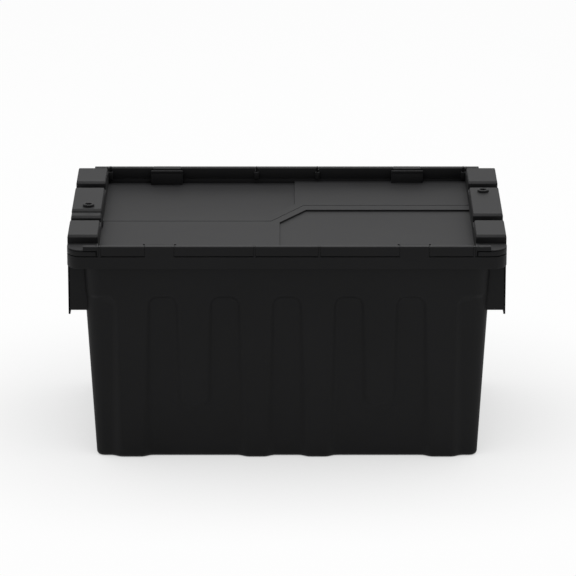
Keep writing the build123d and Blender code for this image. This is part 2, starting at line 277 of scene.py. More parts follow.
def circle_outline(x: float, y: float, radius: float) -> Outline:
    """Outline of a circle, as a square whose corners are rounded until they meet."""
    return Outline(rectangle(x - radius, y - radius, x + radius, y + radius), radius, steps=9)


def pocket_outline(span: tuple[float, float], back: float, inner: float, wall: float, front: float,
                   radius: float) -> Outline:
    """Outline of a U in plan, open towards +Y.

    Args:
        span: From where to where the room inside reaches along the hinge.
        back: Where both arms end.
        inner: Where the room inside ends.
        wall: Thickness of both arms.
        front: Where the U's closed side stands.
        radius: Radius of the corners.

    Returns:
        The outline.
    """
    a, b = span
    return Outline([(a - wall, back), (a - wall, front), (b + wall, front), (b + wall, back), (b, back),
                    (b, inner), (a, inner), (a, back)], radius)


def edge_profile(low: float, high: float, foot: float, edge: float) -> Array:
    """Profile up the side of a plate, as inset and height.

    A quarter round of radius foot at the bottom, a straight side, and a quarter round of radius
    edge at the top: inset = r (1 - cos t), height = r (1 - sin t) from the face.

    Args:
        low: Height of the bottom face.
        high: Height of the top face.
        foot: Radius at the bottom.
        edge: Radius at the top.

    Returns:
        Array of levels by 2.
    """
    turn = np.linspace(0.0, np.pi / 2, EDGE_STEPS)
    curve = np.stack([1 - np.cos(turn), 1 - np.sin(turn)], axis=1)
    bottom = curve[::-1] * foot
    top = curve * edge
    return np.concatenate([np.stack([bottom[:, 0], low + bottom[:, 1]], axis=1),
                           np.stack([top[:, 0], high - top[:, 1]], axis=1)])


def bevel_profile(low: float, high: float, bevel: float, soft: float = 0.5) -> Array:
    """Profile up the side of a block with a 45 degree bevel at the top, as inset and height.

    Args:
        low: Height of the bottom face, whose edge is cut off by FOOT_CUT.
        high: Height of the top face.
        bevel: Width of the bevel.
        soft: How far the bevel's two edges are eased.

    Returns:
        Array of levels by 2.
    """
    shoulder = high - bevel
    ease = soft * 0.4
    foot = [[FOOT_CUT, low], [0.0, low + FOOT_CUT]]
    lower_edge = [[0.0, shoulder - soft], [ease * 0.35, shoulder], [soft, shoulder + soft + ease * 0.2]]
    upper_edge = [[bevel - soft, high - soft - ease * 0.2], [bevel - ease * 0.1, high - ease * 0.35],
                  [bevel + soft, high]]
    return np.array(foot + lower_edge + upper_edge)


@dataclass
class Moulding:
    """A moulded piece under construction: closed surfaces in millimetres, gathered into one mesh."""

    name: str
    turned: float = 1.0
    points: list[Array] = field(default_factory=list)
    faces: list[Array] = field(default_factory=list)
    smooth: list[Array] = field(default_factory=list)
    count: int = 0

    def add(self, points: Array, faces: Array, smooth: bool) -> int:
        """Adds points and the faces between them.

        Args:
            points: Array of points by 3.
            faces: Array of faces by corners, counted from the first of these points.
            smooth: Whether the faces are shaded as one curved surface.

        Returns:
            Number of the first point in the whole mesh.
        """
        first = self.count
        self.points.append(points.reshape(-1, 3))
        self.faces.append(faces + first)
        self.smooth.append(np.full(len(faces), smooth))
        self.count += len(self.points[-1])
        return first

    def skin(self, rings: Array, smooth: bool = True) -> None:
        """Skins a stack of closed rings with four-sided faces, outward for rings that run anticlockwise.

        Args:
            rings: Array of levels by points by 3.
            smooth: Whether the faces are shaded as one curved surface.
        """
        levels, number = rings.shape[:2]
        grid = np.arange(levels * number).reshape(levels, number)
        following = np.roll(grid, -1, axis=1)
        faces = np.stack([grid[:-1], following[:-1], following[1:], grid[1:]], axis=-1).reshape(-1, 4)
        self.add(rings, faces, smooth)

    def cap(self, ring: Array, holes: list[Array], level: float, raised: Raised, upward: bool) -> None:
        """Closes an outline, less its holes, with a flat face cut into triangles.

        Args:
            ring: Outer points by 2.
            holes: Points by 2 of each hole.
            level: Height of the face.
            raised: Which way the plate is raised.
            upward: Whether the face looks along that way or against it.
        """
        loops = [ring, *holes]
        flat = np.concatenate(loops)
        veclist = [[Vector((x, y, 0.0)) for x, y in loop] for loop in loops]
        faces = np.array(tessellate_polygon(veclist))
        a, b, c = flat[faces[:, 0]], flat[faces[:, 1]], flat[faces[:, 2]]
        area = (b[:, 0] - a[:, 0]) * (c[:, 1] - a[:, 1]) - (b[:, 1] - a[:, 1]) * (c[:, 0] - a[:, 0])
        wrong = (area < 0) if upward else (area > 0)
        faces[wrong] = faces[wrong][:, ::-1]
        self.add(self.place(flat, level, raised), faces[np.abs(area) > LEAST_AREA], False)

    @staticmethod
    def place(flat: Array, level: float | Array, raised: Raised) -> Array:
        """Sets points of an outline at a level: along Z the outline is x, y, along X it is y, z."""
        height = np.broadcast_to(np.asarray(level, float), flat.shape[:-1])
        return np.roll(np.concatenate([flat, height[..., None]], axis=-1), raised.value, axis=-1)

    def enclose(self, rings: Array, bored: list[Array], heights: Array, raised: Raised) -> None:
        """Skins a stack of outlines and the holes through it, and closes both ends.

        Args:
            rings: Array of levels by points by 2.
            bored: Such an array for each hole.
            heights: Height of each level.
            raised: Which way the stack rises.
        """
        self.skin(self.place(rings, heights[:, None], raised))
        for hole in bored:
            self.skin(self.place(hole, heights[:, None], raised)[:, ::-1])
        for level, upward in ((0, False), (-1, True)):
            self.cap(rings[level], [hole[level] for hole in bored], heights[level], raised, upward)

    def raise_profile(self, outline: Outline, profile: Array, holes: list[Outline] | None = None,
                      raised: Raised = Raised.ALONG_Z) -> None:
        """Carries a profile of inset and height round an outline and its holes, and closes both ends.

        Args:
            outline: Outer outline.
            profile: Array of levels by inset and height.
            holes: Outlines of the holes, which widen where the outer one is drawn in.
            raised: Which way the profile rises.
        """
        insets = profile[:, 0]
        self.enclose(outline.at(insets), [hole.at(-insets) for hole in holes or []], profile[:, 1], raised)

    def block(self, outline: Outline, profile: Array, side_share: float, holes: list[Outline]) -> None:
        """Raises a rectangle through a profile that draws its two ends in more than its two sides.

        Each ring is the outline scaled about its middle: half size less the inset in y, and less
        a share of the inset in x.

        Args:
            outline: Rectangle with rounded corners.
            profile: Array of levels by inset and height.
            side_share: Share of the inset that the sides take.
            holes: Outlines of the holes.
        """
        ring = outline.at(np.zeros(1))[0]
        middle = (ring.min(axis=0) + ring.max(axis=0)) / 2
        half = ring.max(axis=0) - middle
        drawn = profile[:, :1] * np.array([[side_share, 1.0]])
        rings = middle + (ring - middle) * ((half - drawn) / half)[:, None, :]
        bored = [hole.at(np.zeros(len(profile))) for hole in holes]
        self.enclose(rings, bored, profile[:, 1], Raised.ALONG_Z)

    def plate(self, outline: Outline, low: float, high: float, holes: list[Outline] | None = None,
              edge: float = 0.5, foot: float = 0.3, raised: Raised = Raised.ALONG_Z) -> None:
        """Raises an outline, less its holes, into a plate with rounded edges.

        Args:
            outline: Outer outline.
            low: Height of the bottom face.
            high: Height of the top face.
            holes: Outlines of the holes.
            edge: Radius of the top edges.
            foot: Radius of the bottom edges.
            raised: Which way the plate is raised.
        """
        self.raise_profile(outline, edge_profile(low, high, foot, edge), holes, raised)

    def slab(self, x: tuple[float, float], y: tuple[float, float], z: tuple[float, float],
             edge: float = 0.4) -> None:
        """Raises a rectangle between two places along each axis, with rounded edges."""
        low, high = sorted(y)
        left, right = sorted(x)
        self.plate(box_outline(left, low, right, high, 0.6), z[0], z[1], edge=edge)

    def finish(self, body: str, slot: str, stands_for: str, material: bpy.types.Material) -> bpy.types.Object:
        """Makes the mesh, in metres, and hangs it on its body.

        Args:
            body: Body that carries the piece.
            slot: Material slot of the record, not used.
            stands_for: CAD node that the piece replaces.
            material: Finish of the whole piece.

        Returns:
            The finished piece.
        """
        points = np.concatenate(self.points) * MM
        points[:, :2] *= self.turned
        mesh = bpy.data.meshes.new(self.name)
        faces = [face for group in self.faces for face in group.tolist()]
        mesh.from_pydata(points.tolist(), [], faces)
        mesh.polygons.foreach_set("use_smooth", np.concatenate(self.smooth))
        mesh.set_sharp_from_angle(angle=SHARP_ANGLE)
        mesh.materials.append(material)
        mesh.update()
        piece = link_object(self.name, mesh)
        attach(piece, body)
        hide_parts(stands_for)
        log.info("%s: %d points, %d faces, rides on %s", self.name, len(points), len(faces), body)
        return piece


def mirrored(outline: Outline, side: int) -> Outline:
    """The outline for the right side, or its mirror image in x for the left."""
    if side > 0:
        return outline
    radius = outline.radius[::-1] if isinstance(outline.radius, list) else outline.radius
    return Outline([(-x, y) for x, y in reversed(outline.corners)], radius, outline.steps)


# Sizes that the sub-assemblies share


@dataclass(frozen=True)
class Plan:
    """Main sizes of the tote, in millimetres."""

    half_length: float = 300.0
    half_width: float = 200.0
    corner: float = 22.0
    wall: float = 2.6
    rim_bottom: float = 282.0
    deck_top: float = 285.0
    rim_top: float = 299.0
    lip_bottom: float = 300.0
    lip_top: float = 314.0
    hinge_y: float = 197.0
    hinge_height: float = 307.6
    post_center: float = 173.5
    post_half: float = 20.0
    post_depth: float = 12.0
    fins: tuple[float, float] = (44.0, 255.0)
    fin_half: float = 1.5
    fin_depth: float = 6.0


PLAN = Plan()


@dataclass
class LidHalf:
    """One lid half, drawn with its hinge along +Y. The front one is turned half round.

    Its floor lies between the lip and the stepped joint. It is high beside the joint and on the
    right of the seam, and low in the rest, so the high part runs as a border along the joint.
    """

    facing: Facing
    name: str
    edge: tuple[float, float]
    step: tuple[float, float]
    seam: float
    level_step: float
    deck_ends: tuple[float, float]
    seal_y: float
    stubbed: bool
    plan: Plan = PLAN
    gap: float = 0.75
    tuck: tuple[float, float] = (0.8, 1.5)
    knuckle_gap: float = 0.12
    fin_gap: float = 0.06
    fin_pocket_room: float = 1.8
    fin_pocket_wall: float = 1.5
    fin_pocket_top: float = 308.0
    over_deck_inset: float = 0.15
    over_deck_lift: float = 0.6
    skin: float = 2.5
    floor_level: float = 294.0
    border: float = 21.0
    border_lead: float = 3.0
    seam_end: float = 5.0
    lip_depth: float = 8.5
    lip_half: float = 277.5
    lip_inner_drop: float = 3.0
    wall_at: float = 258.0
    wall_drop: float = 0.6
    deck_top: float = 309.0
    deck_thickness: float = 3.0
    skirt_bottom: float = 300.2
    skirt_rest: float = 299.3
    skirt_rest_half: float = 150.0
    pocket_gap: float = 2.2
    pocket_wall: float = 5.3
    pocket_top: float = 309.2
    pocket_crest: tuple[float, float] = (2.3, 312.4)
    rail_top: float = 321.0
    rail_inset: float = 0.3
    rail_span: tuple[float, float] = (94.5, 168.5)
    middle_rail_end: float = 67.0
    rail_corner: float = 1.5
    rail_bevel: float = 3.4
    rail_side_share: float = 0.3
    stub_drop: float = 3.0
    seal_x: float = 277.0
    seal_hole: float = 4.5
    seal_ring: float = 8.0
    seal_rise: float = 3.5
    rib_depth: float = 8.0
    rib_half: float = 0.9
    rib_pitch: float = 85.0
    cross_ribs: int = 5
    rib_setback: float = 6.0
    rib_back: float = 177.4

    @property
    def under(self) -> float:
        """Level of the low floor's underside."""
        return self.floor_level - self.level_step - self.skin

    @property
    def lip_inner(self) -> float:
        """Where the lip's inner face stands."""
        return self.plan.half_width - self.lip_depth

    def post_spans(self, margin: float) -> list[tuple[float, float]]:
        """From where to where each hinge post and the room round it reach along the hinge."""
        reach = self.plan.post_half + self.knuckle_gap + margin
        return [(side * self.plan.post_center - reach, side * self.plan.post_center + reach)
                for side in (-1, 1)]

    def fin_spans(self) -> list[tuple[float, float]]:
        """From where to where each fin of the body and the room beside it reach along the hinge."""
        reach = self.plan.fin_half + self.fin_gap
        return [(side * fin - reach, side * fin + reach) for fin in self.plan.fins for side in (-1, 1)]

    def floor(self, piece: Moulding) -> None:
        """Builds the floor's two levels, with notches for the posts, and the walls at its ends.

        The low level is tucked a little under the edge of the high one.

        Args:
            piece: Moulding to add to.
        """
        left, right = self.edge
        out, back = self.wall_at + LAP, self.lip_inner + LAP
        free_end = self.wall_at - self.gap
        notch_y = self.plan.half_width - self.plan.post_depth - self.pocket_gap - self.skin / 2
        notches = [[(b, back), (b, notch_y), (a, notch_y), (a, back)]
                   for a, b in self.post_spans(self.skin / 2)]
        low = self.floor_level - self.level_step
        turn = (self.step[0] - self.border_lead, left + self.border)
        high_zone = [(-out, left), (self.step[0], left), (self.step[1], right), (free_end, right),
                     (free_end, self.deck_ends[1]), (out, self.deck_ends[1]), (out, back), *notches[1],
                     (self.seam, back), (self.seam, right + self.seam_end), turn, (-out, turn[1])]
        piece.plate(Outline(high_zone, 0.5), low - LAP, self.floor_level, edge=0.4)
        slight, deep = self.tuck
        low_zone = [(-out, turn[1] - deep), (turn[0] + slight, turn[1] - deep),
                    (self.seam + deep, right + self.seam_end - slight), (self.seam + deep, back),
                    *notches[0], (-out, back)]
        piece.plate(Outline(low_zone, 0.5), self.under, low, edge=0.2)
        for side, end in zip((-1, 1), self.deck_ends):
            piece.slab((side * self.wall_at, side * (self.wall_at + self.skin)), (end, back),
                       (self.under, self.deck_top - self.wall_drop))

    def pockets(self, piece: Moulding) -> None:
        """Builds the block behind each hinge post, as a U in plan, with a higher wall inwards."""
        inner = self.plan.half_width - self.plan.post_depth - self.pocket_gap
        front = inner - self.pocket_wall
        depth, crest = self.pocket_crest
        for a, b in self.post_spans(0.0):
            pocket = pocket_outline((a, b), self.lip_inner + LAP, inner, self.skin, front, 0.6)
            piece.plate(pocket, self.under, self.pocket_top, edge=0.5)
            piece.slab((a - self.skin, b + self.skin), (front, front + depth),
                       (self.pocket_top - LAP, crest), edge=0.5)

    def lip(self, piece: Moulding) -> None:
        """Carries the lip's profile along the hinge, parted at the posts and at the body's fins.

        It is whole between the floor's end walls and shallow over the decks. A narrow pocket closes
        the lip behind each fin, and a low wall carries it on the floor.

        Args:
            piece: Moulding to add to.
        """
        inner, outer = self.lip_inner, self.plan.half_width
        top, bottom = self.plan.lip_top, self.plan.lip_bottom
        drop = bottom - self.lip_inner_drop
        full = Outline([(inner, drop), (inner + self.skin, drop), (inner + self.skin, bottom),
                        (outer, bottom), (outer, top), (inner, top)], [0.4, 0.4, 0.4, 0.8, 1.4, 1.8])
        back = outer - self.over_deck_inset
        foot = bottom + self.over_deck_lift
        over_deck = Outline([(inner, foot), (back, foot), (back, top), (inner, top)], [0.4, 0.8, 1.4, 1.8])
        stops = sorted(place for span in self.fin_spans() + self.post_spans(0.0) for place in span)
        wall_end = self.wall_at + self.skin
        for start, end in zip(stops[1:-1:2], stops[2:-1:2]):
            piece.plate(full, start, end, edge=0.4, foot=0.4, raised=Raised.ALONG_X)
        for side in (-1, 1):
            near, far = sorted((side * stops[-1], side * wall_end))
            piece.plate(full, near, far, edge=0.4, foot=0.4, raised=Raised.ALONG_X)
            near, far = sorted((side * (self.wall_at + LAP), side * self.lip_half))
            piece.plate(over_deck, near, far, edge=0.6, foot=0.6, raised=Raised.ALONG_X)
        room = inner - self.fin_pocket_room
        for span in self.fin_spans():
            pocket = pocket_outline(span, inner + LAP / 2, room, self.fin_pocket_wall,
                                    room - self.fin_pocket_wall, 0.3)
            piece.plate(pocket, drop, self.fin_pocket_top, edge=0.3)
        rims = sorted(place for span in self.post_spans(self.skin / 2) for place in span)
        reach = wall_end - FOOT_CUT
        for start, end in zip([-reach, *rims[1::2]], [*rims[::2], reach]):
            piece.slab((start, end), (inner, inner + self.skin), (self.under, drop + LAP), edge=0.2)

    def end(self, piece: Moulding, side: int, end: float) -> None:
        """Builds the deck over one end of the rim, its skirt and its stacking rails.

        Args:
            piece: Moulding to add to.
            side: 1 for the right end and -1 for the left.
            end: Where the deck ends, towards the other lid half.
        """
        length, width = self.plan.half_length, self.plan.half_width
        shell = length - self.skin
        holes = [circle_outline(-self.seal_x, self.seal_y, self.seal_hole)] if side < 0 else []
        deck = Outline(rectangle(self.wall_at, end, length, width), [0.8, 0.8, self.plan.corner, 0.8], 8)
        piece.plate(mirrored(deck, side), self.deck_top - self.deck_thickness, self.deck_top, holes,
                    edge=0.7)
        skirt = Outline([(shell, end), (length, end), (length, width), (self.wall_at, width),
                         (self.wall_at, width - self.skin), (shell, width - self.skin)],
                        [0.6, 0.6, self.plan.corner, 0.6, 0.6, self.plan.corner - self.skin], 8)
        piece.plate(mirrored(skirt, side), self.skirt_bottom, self.deck_top - LAP, edge=0.3)
        piece.slab((side * shell, side * length), (end, self.skirt_rest_half),
                   (self.skirt_rest, self.skirt_bottom + LAP))
        rails = [(*self.rail_span, self.rail_top)]
        if side < 0:
            rails.append((end, self.middle_rail_end, self.rail_top))
        elif self.stubbed:
            rails.append((end, self.middle_rail_end, self.rail_top - self.stub_drop))
        for start, stop, top in rails:
            shape = box_outline(self.wall_at + self.rail_inset, start, length, stop, self.rail_corner)
            bored = holes if start < self.seal_y < stop else []
            piece.block(mirrored(shape, side), bevel_profile(self.deck_top - LAP, top, self.rail_bevel),
                        self.rail_side_share, bored)

    def seal_boss(self, piece: Moulding) -> None:
        """Builds the raised ring of the seal hole on the left middle rail."""
        piece.plate(circle_outline(-self.seal_x, self.seal_y, self.seal_ring), self.rail_top - LAP,
                    self.rail_top + self.seal_rise,
                    [circle_outline(-self.seal_x, self.seal_y, self.seal_hole)], edge=0.9)

    def ribs(self, piece: Moulding) -> None:
        """Builds the grid of stiffening ribs under the floor."""
        reach = self.wall_at - self.rib_setback
        near, far = max(self.edge) + self.rib_setback, min(self.edge) + self.rib_setback
        level = (self.under - self.rib_depth, self.floor_level - self.level_step - LAP)
        for row in (self.rib_back, (self.rib_back + near) / 2, near):
            piece.slab((-reach, reach), (row - self.rib_half, row + self.rib_half), level)
        turn = self.step[0] - self.rib_setback
        piece.slab((-reach, turn), (far - self.rib_half, far + self.rib_half), level)
        for place in (np.arange(self.cross_ribs) - (self.cross_ribs - 1) / 2) * self.rib_pitch:
            start = far if place < turn else near
            piece.slab((place - self.rib_half, place + self.rib_half), (start, self.rib_back), level)

    def build(self, material: bpy.types.Material) -> list[bpy.types.Object]:
        """Builds the lid half's pieces and hangs them on its body.

        Args:
            material: Finish of the lid.

        Returns:
            The pieces: floor, lip, and left and right ends.
        """
        turned = self.facing.value
        floor = Moulding(f"{self.name}_floor", turned)
        self.floor(floor)
        self.pockets(floor)
        self.ribs(floor)
        lip = Moulding(f"{self.name}_lip", turned)
        self.lip(lip)
        ends = []
        for side, end in zip((-1, 1), self.deck_ends):
            seen = "left" if side * turned < 0 else "right"
            moulding = Moulding(f"{self.name}_{seen}_end", turned)
            self.end(moulding, side, end)
            if side < 0:
                self.seal_boss(moulding)
            ends.append(moulding)
        return [part.finish(self.name, "lid_plastic", self.name, material)
                for part in (floor, lip, *ends)]


@dataclass
class Tub:
    """The tapered tub: a thin shell whose walls stand out in ribs, inside and outside alike."""

    plan: Plan = PLAN
    panel_base: tuple[float, float] = (259.0, 166.0)
    rib_base: tuple[float, float] = (263.6, 173.0)
    panel_spread: tuple[float, float] = (17.0, 15.0)
    rib_spread: tuple[float, float] = (16.2, 12.0)
    straight: tuple[float, float] = (252.0, 157.0)
    base_round: float = 6.0
    cavity_floor: float = 5.5
    pitches: tuple[float, float] = (85.0, 92.0)
    channels: tuple[int, int] = (5, 3)
    corner_edges: tuple[float, float] = (236.0, 138.0)
    channel_top: float = 236.0
    channel_half: tuple[float, float] = (24.0, 19.0)
    channel_round: float = 13.0
    short_end: float = 76.0
    short_round: float = 15.0
    flank: tuple[float, float] = (8.0, 3.5)
    flank_reach: float = 1.3
    panel_lines: int = 8
    channel_lines: int = 11
    corner_steps: int = 14
    ring_spacing: float = 14.0
    brim: float = 0.3
    foot_half: tuple[float, float] = (217.0, 126.0)
    foot_depth: float = 2.5
    foot_corner: float = 24.0
    foot_rib: float = 80.0

    def half_size(self, base: tuple[float, float], spread: tuple[float, float], axis: int,
                  height: Array) -> Array:
        """Half size at a height: base plus spread in proportion to the height under the rim."""
        return base[axis] + spread[axis] * height / self.plan.rim_bottom

    def channel_width(self, height: Array, grow: float) -> Array:
        """Half width of a channel at a height, widened by grow: it narrows evenly up to its top."""
        wide, narrow = self.channel_half
        share = np.clip(height / self.channel_top, 0.0, 1.0)
        return wide + (narrow - wide) * share + grow

    def flank_width(self, height: Array) -> Array:
        """Half width of a rib's sloped flank: it narrows evenly from the base to the channels' top."""
        share = np.clip(height / self.channel_top, 0.0, 1.0)
        return self.flank[0] + (self.flank[1] - self.flank[0]) * share

    def centers(self, axis: int) -> Array:
        """Places of the channels' middles along a long wall, 0, or an end wall, 1."""
        return (np.arange(self.channels[axis]) - (self.channels[axis] - 1) / 2) * self.pitches[axis]

    def lines(self, axis: int, height: Array, grow: float) -> Array:
        """Places of the upright grid lines along one wall, which follow the edges of its ribs.

        Args:
            axis: 0 for a long wall, 1 for an end wall.
            height: Column of heights, levels by 1.
            grow: How much the channels are widened.

        Returns:
            Array of levels by lines, from the wall's negative end to its positive one.
        """
        near = np.concatenate([[-self.flank_reach], np.linspace(-1.0, 1.0, 9), [self.flank_reach]])
        near = near * self.flank_width(height)
        reach = near[:, -1:]
        apart = np.linspace(0.0, 1.0, self.panel_lines)[1:-1]
        inside = np.linspace(-1.0, 1.0, self.channel_lines)[1:-1]
        half = self.channel_width(height, grow)
        edge = self.corner_edges[axis] - grow
        groups = [near - edge]
        for center in self.centers(axis):
            gap = center - half - reach - groups[-1][:, -1:]
            groups.append(groups[-1][:, -1:] + gap * apart)
            groups.append(center - half + near)
            groups.append(center + (half - reach) * inside)
            groups.append(center + half + near)
        gap = edge - reach - groups[-1][:, -1:]
        groups.append(groups[-1][:, -1:] + gap * apart)
        groups.append(edge + near)
        return np.concatenate(groups, axis=1)

    def rounded_box(self, across: Array, along: Array, radius: float) -> Array:
        """How far a place lies inside a box with one rounded end, negative outside.

        The usual distance to a rounded box: the length of what lies past the corner's centre,
        less the radius.

        Args:
            across: Distance outside the box's sides, negative inside.
            along: Distance past the box's end, negative inside.
            radius: Radius of the end's corners.

        Returns:
            The depth inside the box.
        """
        a, b = across + radius, along + radius
        outside = np.hypot(np.maximum(a, 0.0), np.maximum(b, 0.0))
        return radius - outside - np.minimum(np.maximum(a, b), 0.0)

    def ribbed(self, axis: int, place: Array, height: Array, grow: float) -> Array:
        """How far the wall stands out at a place, from 0 on the panel to 1 on a rib.

        The depth inside the nearest hollow, taken through a smooth step as wide as a rib's flank:
        3 s^2 - 2 s^3. A long wall's ends are hollow past its last line and have two short ribs,
        while an end wall stays at the ribs' level up to its corners.

        Args:
            axis: 0 for a long wall, 1 for an end wall.
            place: Places along the wall.
            height: Heights.
            grow: How much the hollows are widened.

        Returns:
            Array of shares.
        """
        half = self.channel_width(height, grow)
        pitch = self.pitches[axis]
        along = height - self.channel_top - grow
        beside = self.corner_edges[axis] - grow - np.abs(place)
        if axis == 1:
            beside = beside + 2 * self.plan.half_length
        depth = self.rounded_box(beside, along, self.channel_round)
        for center in self.centers(axis):
            hollow = self.rounded_box(np.abs(place - center) - half, along, self.channel_round)
            depth = np.maximum(depth, hollow)
        if axis == 0:
            offset = np.abs(np.abs(place) - 1.5 * pitch)
            short_rib = self.rounded_box(offset - (pitch / 2 - half), self.short_end + grow - height,
                                         self.short_round - grow)
            low = (offset < pitch / 2) & (height < self.channel_top / 2)
            depth = np.where(low, np.maximum(depth, -short_rib), depth)
        share = np.clip(0.5 - depth / (2 * self.flank_width(height)), 0.0, 1.0)
        return share * share * (3 - 2 * share)

    def level(self, axis: int, place: Array, height: Array, grow: float) -> Array:
        """How far out a wall stands at a place, between the panel's level and the ribs'."""
        other = 1 - axis
        panel = self.half_size(self.panel_base, self.panel_spread, other, height)
        rib = self.half_size(self.rib_base, self.rib_spread, other, height)
        return panel + (rib - panel) * self.ribbed(axis, place, height, grow)

    def corner_level(self, axis: int, height: Array, grow: float) -> Array:
        """How far out a wall stands where it turns into the corner, past its last line."""
        return self.level(axis, np.full_like(height, self.straight[axis]), height, grow)

    def shell(self, heights: Array, inset: float, base: float) -> Array:
        """One surface of the tub: rings round it at the given heights.

        Each wall's lines lie on the panel, moved out to the ribs along the wall's normal, and the
        corners are arcs between the walls. Near the base every ring is drawn in by a quarter
        round: r - sqrt(r^2 - (r - z)^2).

        Args:
            heights: Heights of the rings.
            inset: How far the surface is drawn in from the outside.
            base: Height at which the surface starts.

        Returns:
            Array of rings by points by 3, anticlockwise from the front left.
        """
        z = heights[:, None]
        radius = self.base_round - inset
        below = np.clip(radius - (z - base), 0.0, radius)
        drawn = inset + radius - np.sqrt(radius ** 2 - below ** 2)
        sides = []
        for axis, turn in ((0, 0), (1, 1), (0, 2), (1, 3)):
            other = 1 - axis
            along = self.lines(axis, z, inset)
            out = self.level(axis, along, z, inset) - drawn
            wall = np.stack([along, -out + 0.0 * along], axis=-1)
            straight = self.straight[axis]
            angle = np.linspace(-np.pi / 2, 0.0, self.corner_steps + 2)[None, 1:-1]
            reach_x = self.corner_level(other, z, inset) - drawn - straight
            reach_y = self.corner_level(axis, z, inset) - drawn - self.straight[other]
            corner = np.stack([straight + reach_x * np.cos(angle),
                               -self.straight[other] + reach_y * np.sin(angle)], axis=-1)
            ring = np.concatenate([wall, corner], axis=1)
            swing = turn * np.pi / 2
            spin = np.array([[math.cos(swing), math.sin(swing)], [-math.sin(swing), math.cos(swing)]])
            sides.append(ring @ spin)
        flat = np.concatenate(sides, axis=1)
        return np.concatenate([flat, np.broadcast_to(z[..., None], (*flat.shape[:2], 1))], axis=-1)

    def heights(self, base: float, radius: float, top: float) -> Array:
        """Heights of the rings: close together at the base, at the short ribs' ends and at the arches.

        Args:
            base: Lowest height.
            radius: Radius of the base edge.
            top: Highest height.

        Returns:
            Sorted heights.
        """
        turn = np.linspace(0.0, np.pi / 2, 6)
        wide, end, arch = self.ring_spacing, self.short_end, self.channel_top
        parts = [base + radius * (1 - np.cos(turn)),
                 np.arange(base + radius + wide, end - 16.0, wide), np.arange(end - 8.0, end + 22.0, 2.0),
                 np.arange(end + 22.0 + wide, arch - 26.0, wide), np.arange(arch - 20.0, arch - 4.0, 2.0),
                 np.arange(arch - 4.0, arch + 6.5, 1.0), np.linspace(arch + 14.0, top, 4)]
        return np.concatenate(parts)

    def build(self, material: bpy.types.Material) -> bpy.types.Object:
        """Builds the tub.

        Args:
            material: Finish of the tub.

        Returns:
            The tub's piece.
        """
        wall, rim = self.plan.wall, self.plan.rim_bottom
        piece = Moulding("tub")
        outer = self.shell(self.heights(0.0, self.base_round, rim), 0.0, 0.0)
        inner_heights = self.heights(self.cavity_floor, self.base_round - wall, rim + LAP)
        inner = self.shell(inner_heights, wall, self.cavity_floor)
        outer_top, inner_top = outer[-1:].copy(), inner[-1:].copy()
        outer_top[..., 2] = inner_top[..., 2] = self.plan.deck_top + self.brim
        piece.skin(np.concatenate([outer, outer_top, inner_top, inner[::-1]]))
        piece.cap(inner[0, :, :2], [], self.cavity_floor, Raised.ALONG_Z, upward=True)
        reach_x, reach_y = self.foot_half
        hollow = centred_outline(reach_x, reach_y, self.foot_corner, 9)
        rings = hollow.at(np.zeros(2))
        walls = Moulding.place(rings, np.array([[0.0], [self.foot_depth]]), Raised.ALONG_Z)
        piece.skin(walls[:, ::-1])
        piece.cap(outer[0, :, :2], [rings[0]], 0.0, Raised.ALONG_Z, upward=False)
        piece.cap(rings[1], [], self.foot_depth, Raised.ALONG_Z, upward=False)
        level = (0.0, self.foot_depth + LAP / 2)
        for place in (-self.foot_rib, self.foot_rib):
            piece.slab((place - wall / 2, place + wall / 2), (-reach_y - LAP, reach_y + LAP), level, edge=0.2)
        piece.slab((-reach_x - LAP, reach_x + LAP), (-wall / 2, wall / 2), level, edge=0.2)
        return piece.finish("body", "body_plastic", "tote_body", material)


@dataclass
class Rim:
    """The tub's rim with its upright band, and the posts and fins that hold the hinge wires."""

    plan: Plan = PLAN
    mouth: tuple[float, float] = (277.9, 182.9)
    mouth_radius: float = 37.0
    tail_hole: float = 4.5
    tails: tuple[tuple[float, float], ...] = ((-287.0, -28.0), (287.0, 44.0))
    drawn_in: tuple[float, float] = (0.05, 0.1)
    stand_root: float = 0.8

    def build(self, material: bpy.types.Material) -> bpy.types.Object:
        """Builds the rim.

        The end decks, and each post or fin up to the band's top, are drawn in a little, so that no
        face of theirs lies in the band's.

        Args:
            material: Finish of the rim.

        Returns:
            The rim's piece.
        """
        plan = self.plan
        length, width, wall = plan.half_length, plan.half_width, plan.wall
        piece = Moulding("rim")
        mouth = centred_outline(*self.mouth, self.mouth_radius, 12)
        tails = [circle_outline(x, y, self.tail_hole) for x, y in self.tails]
        deck = centred_outline(length - LAP, width - LAP, plan.corner - LAP, 10)
        deck_rise, stand_rise = self.drawn_in
        piece.plate(deck, plan.rim_bottom + deck_rise, plan.deck_top, [mouth, *tails], edge=0.2)
        inside = centred_outline(length - wall, width - wall, plan.corner - wall, 10)
        outside = centred_outline(length, width, plan.corner, 10)
        piece.plate(outside, plan.rim_bottom, plan.rim_top, [inside], edge=0.7, foot=0.7)
        for side in (-1, 1):
            for end in (-1, 1):
                stands = [(plan.post_center, plan.post_half, plan.post_depth, 0.9)]
                stands += [(fin, plan.fin_half, plan.fin_depth, 0.5) for fin in plan.fins]
                for place, half, depth, edge in stands:
                    across = (end * place - half, end * place + half)
                    piece.slab(across, (side * (width - depth), side * (width - LAP)),
                               (plan.rim_bottom + stand_rise, plan.rim_top), edge=0.2)
                    piece.slab(across, (side * (width - depth), side * width),
                               (plan.rim_top - self.stand_root, plan.lip_top), edge=edge)
        return piece.finish("body", "body_plastic", "tote_body", material)


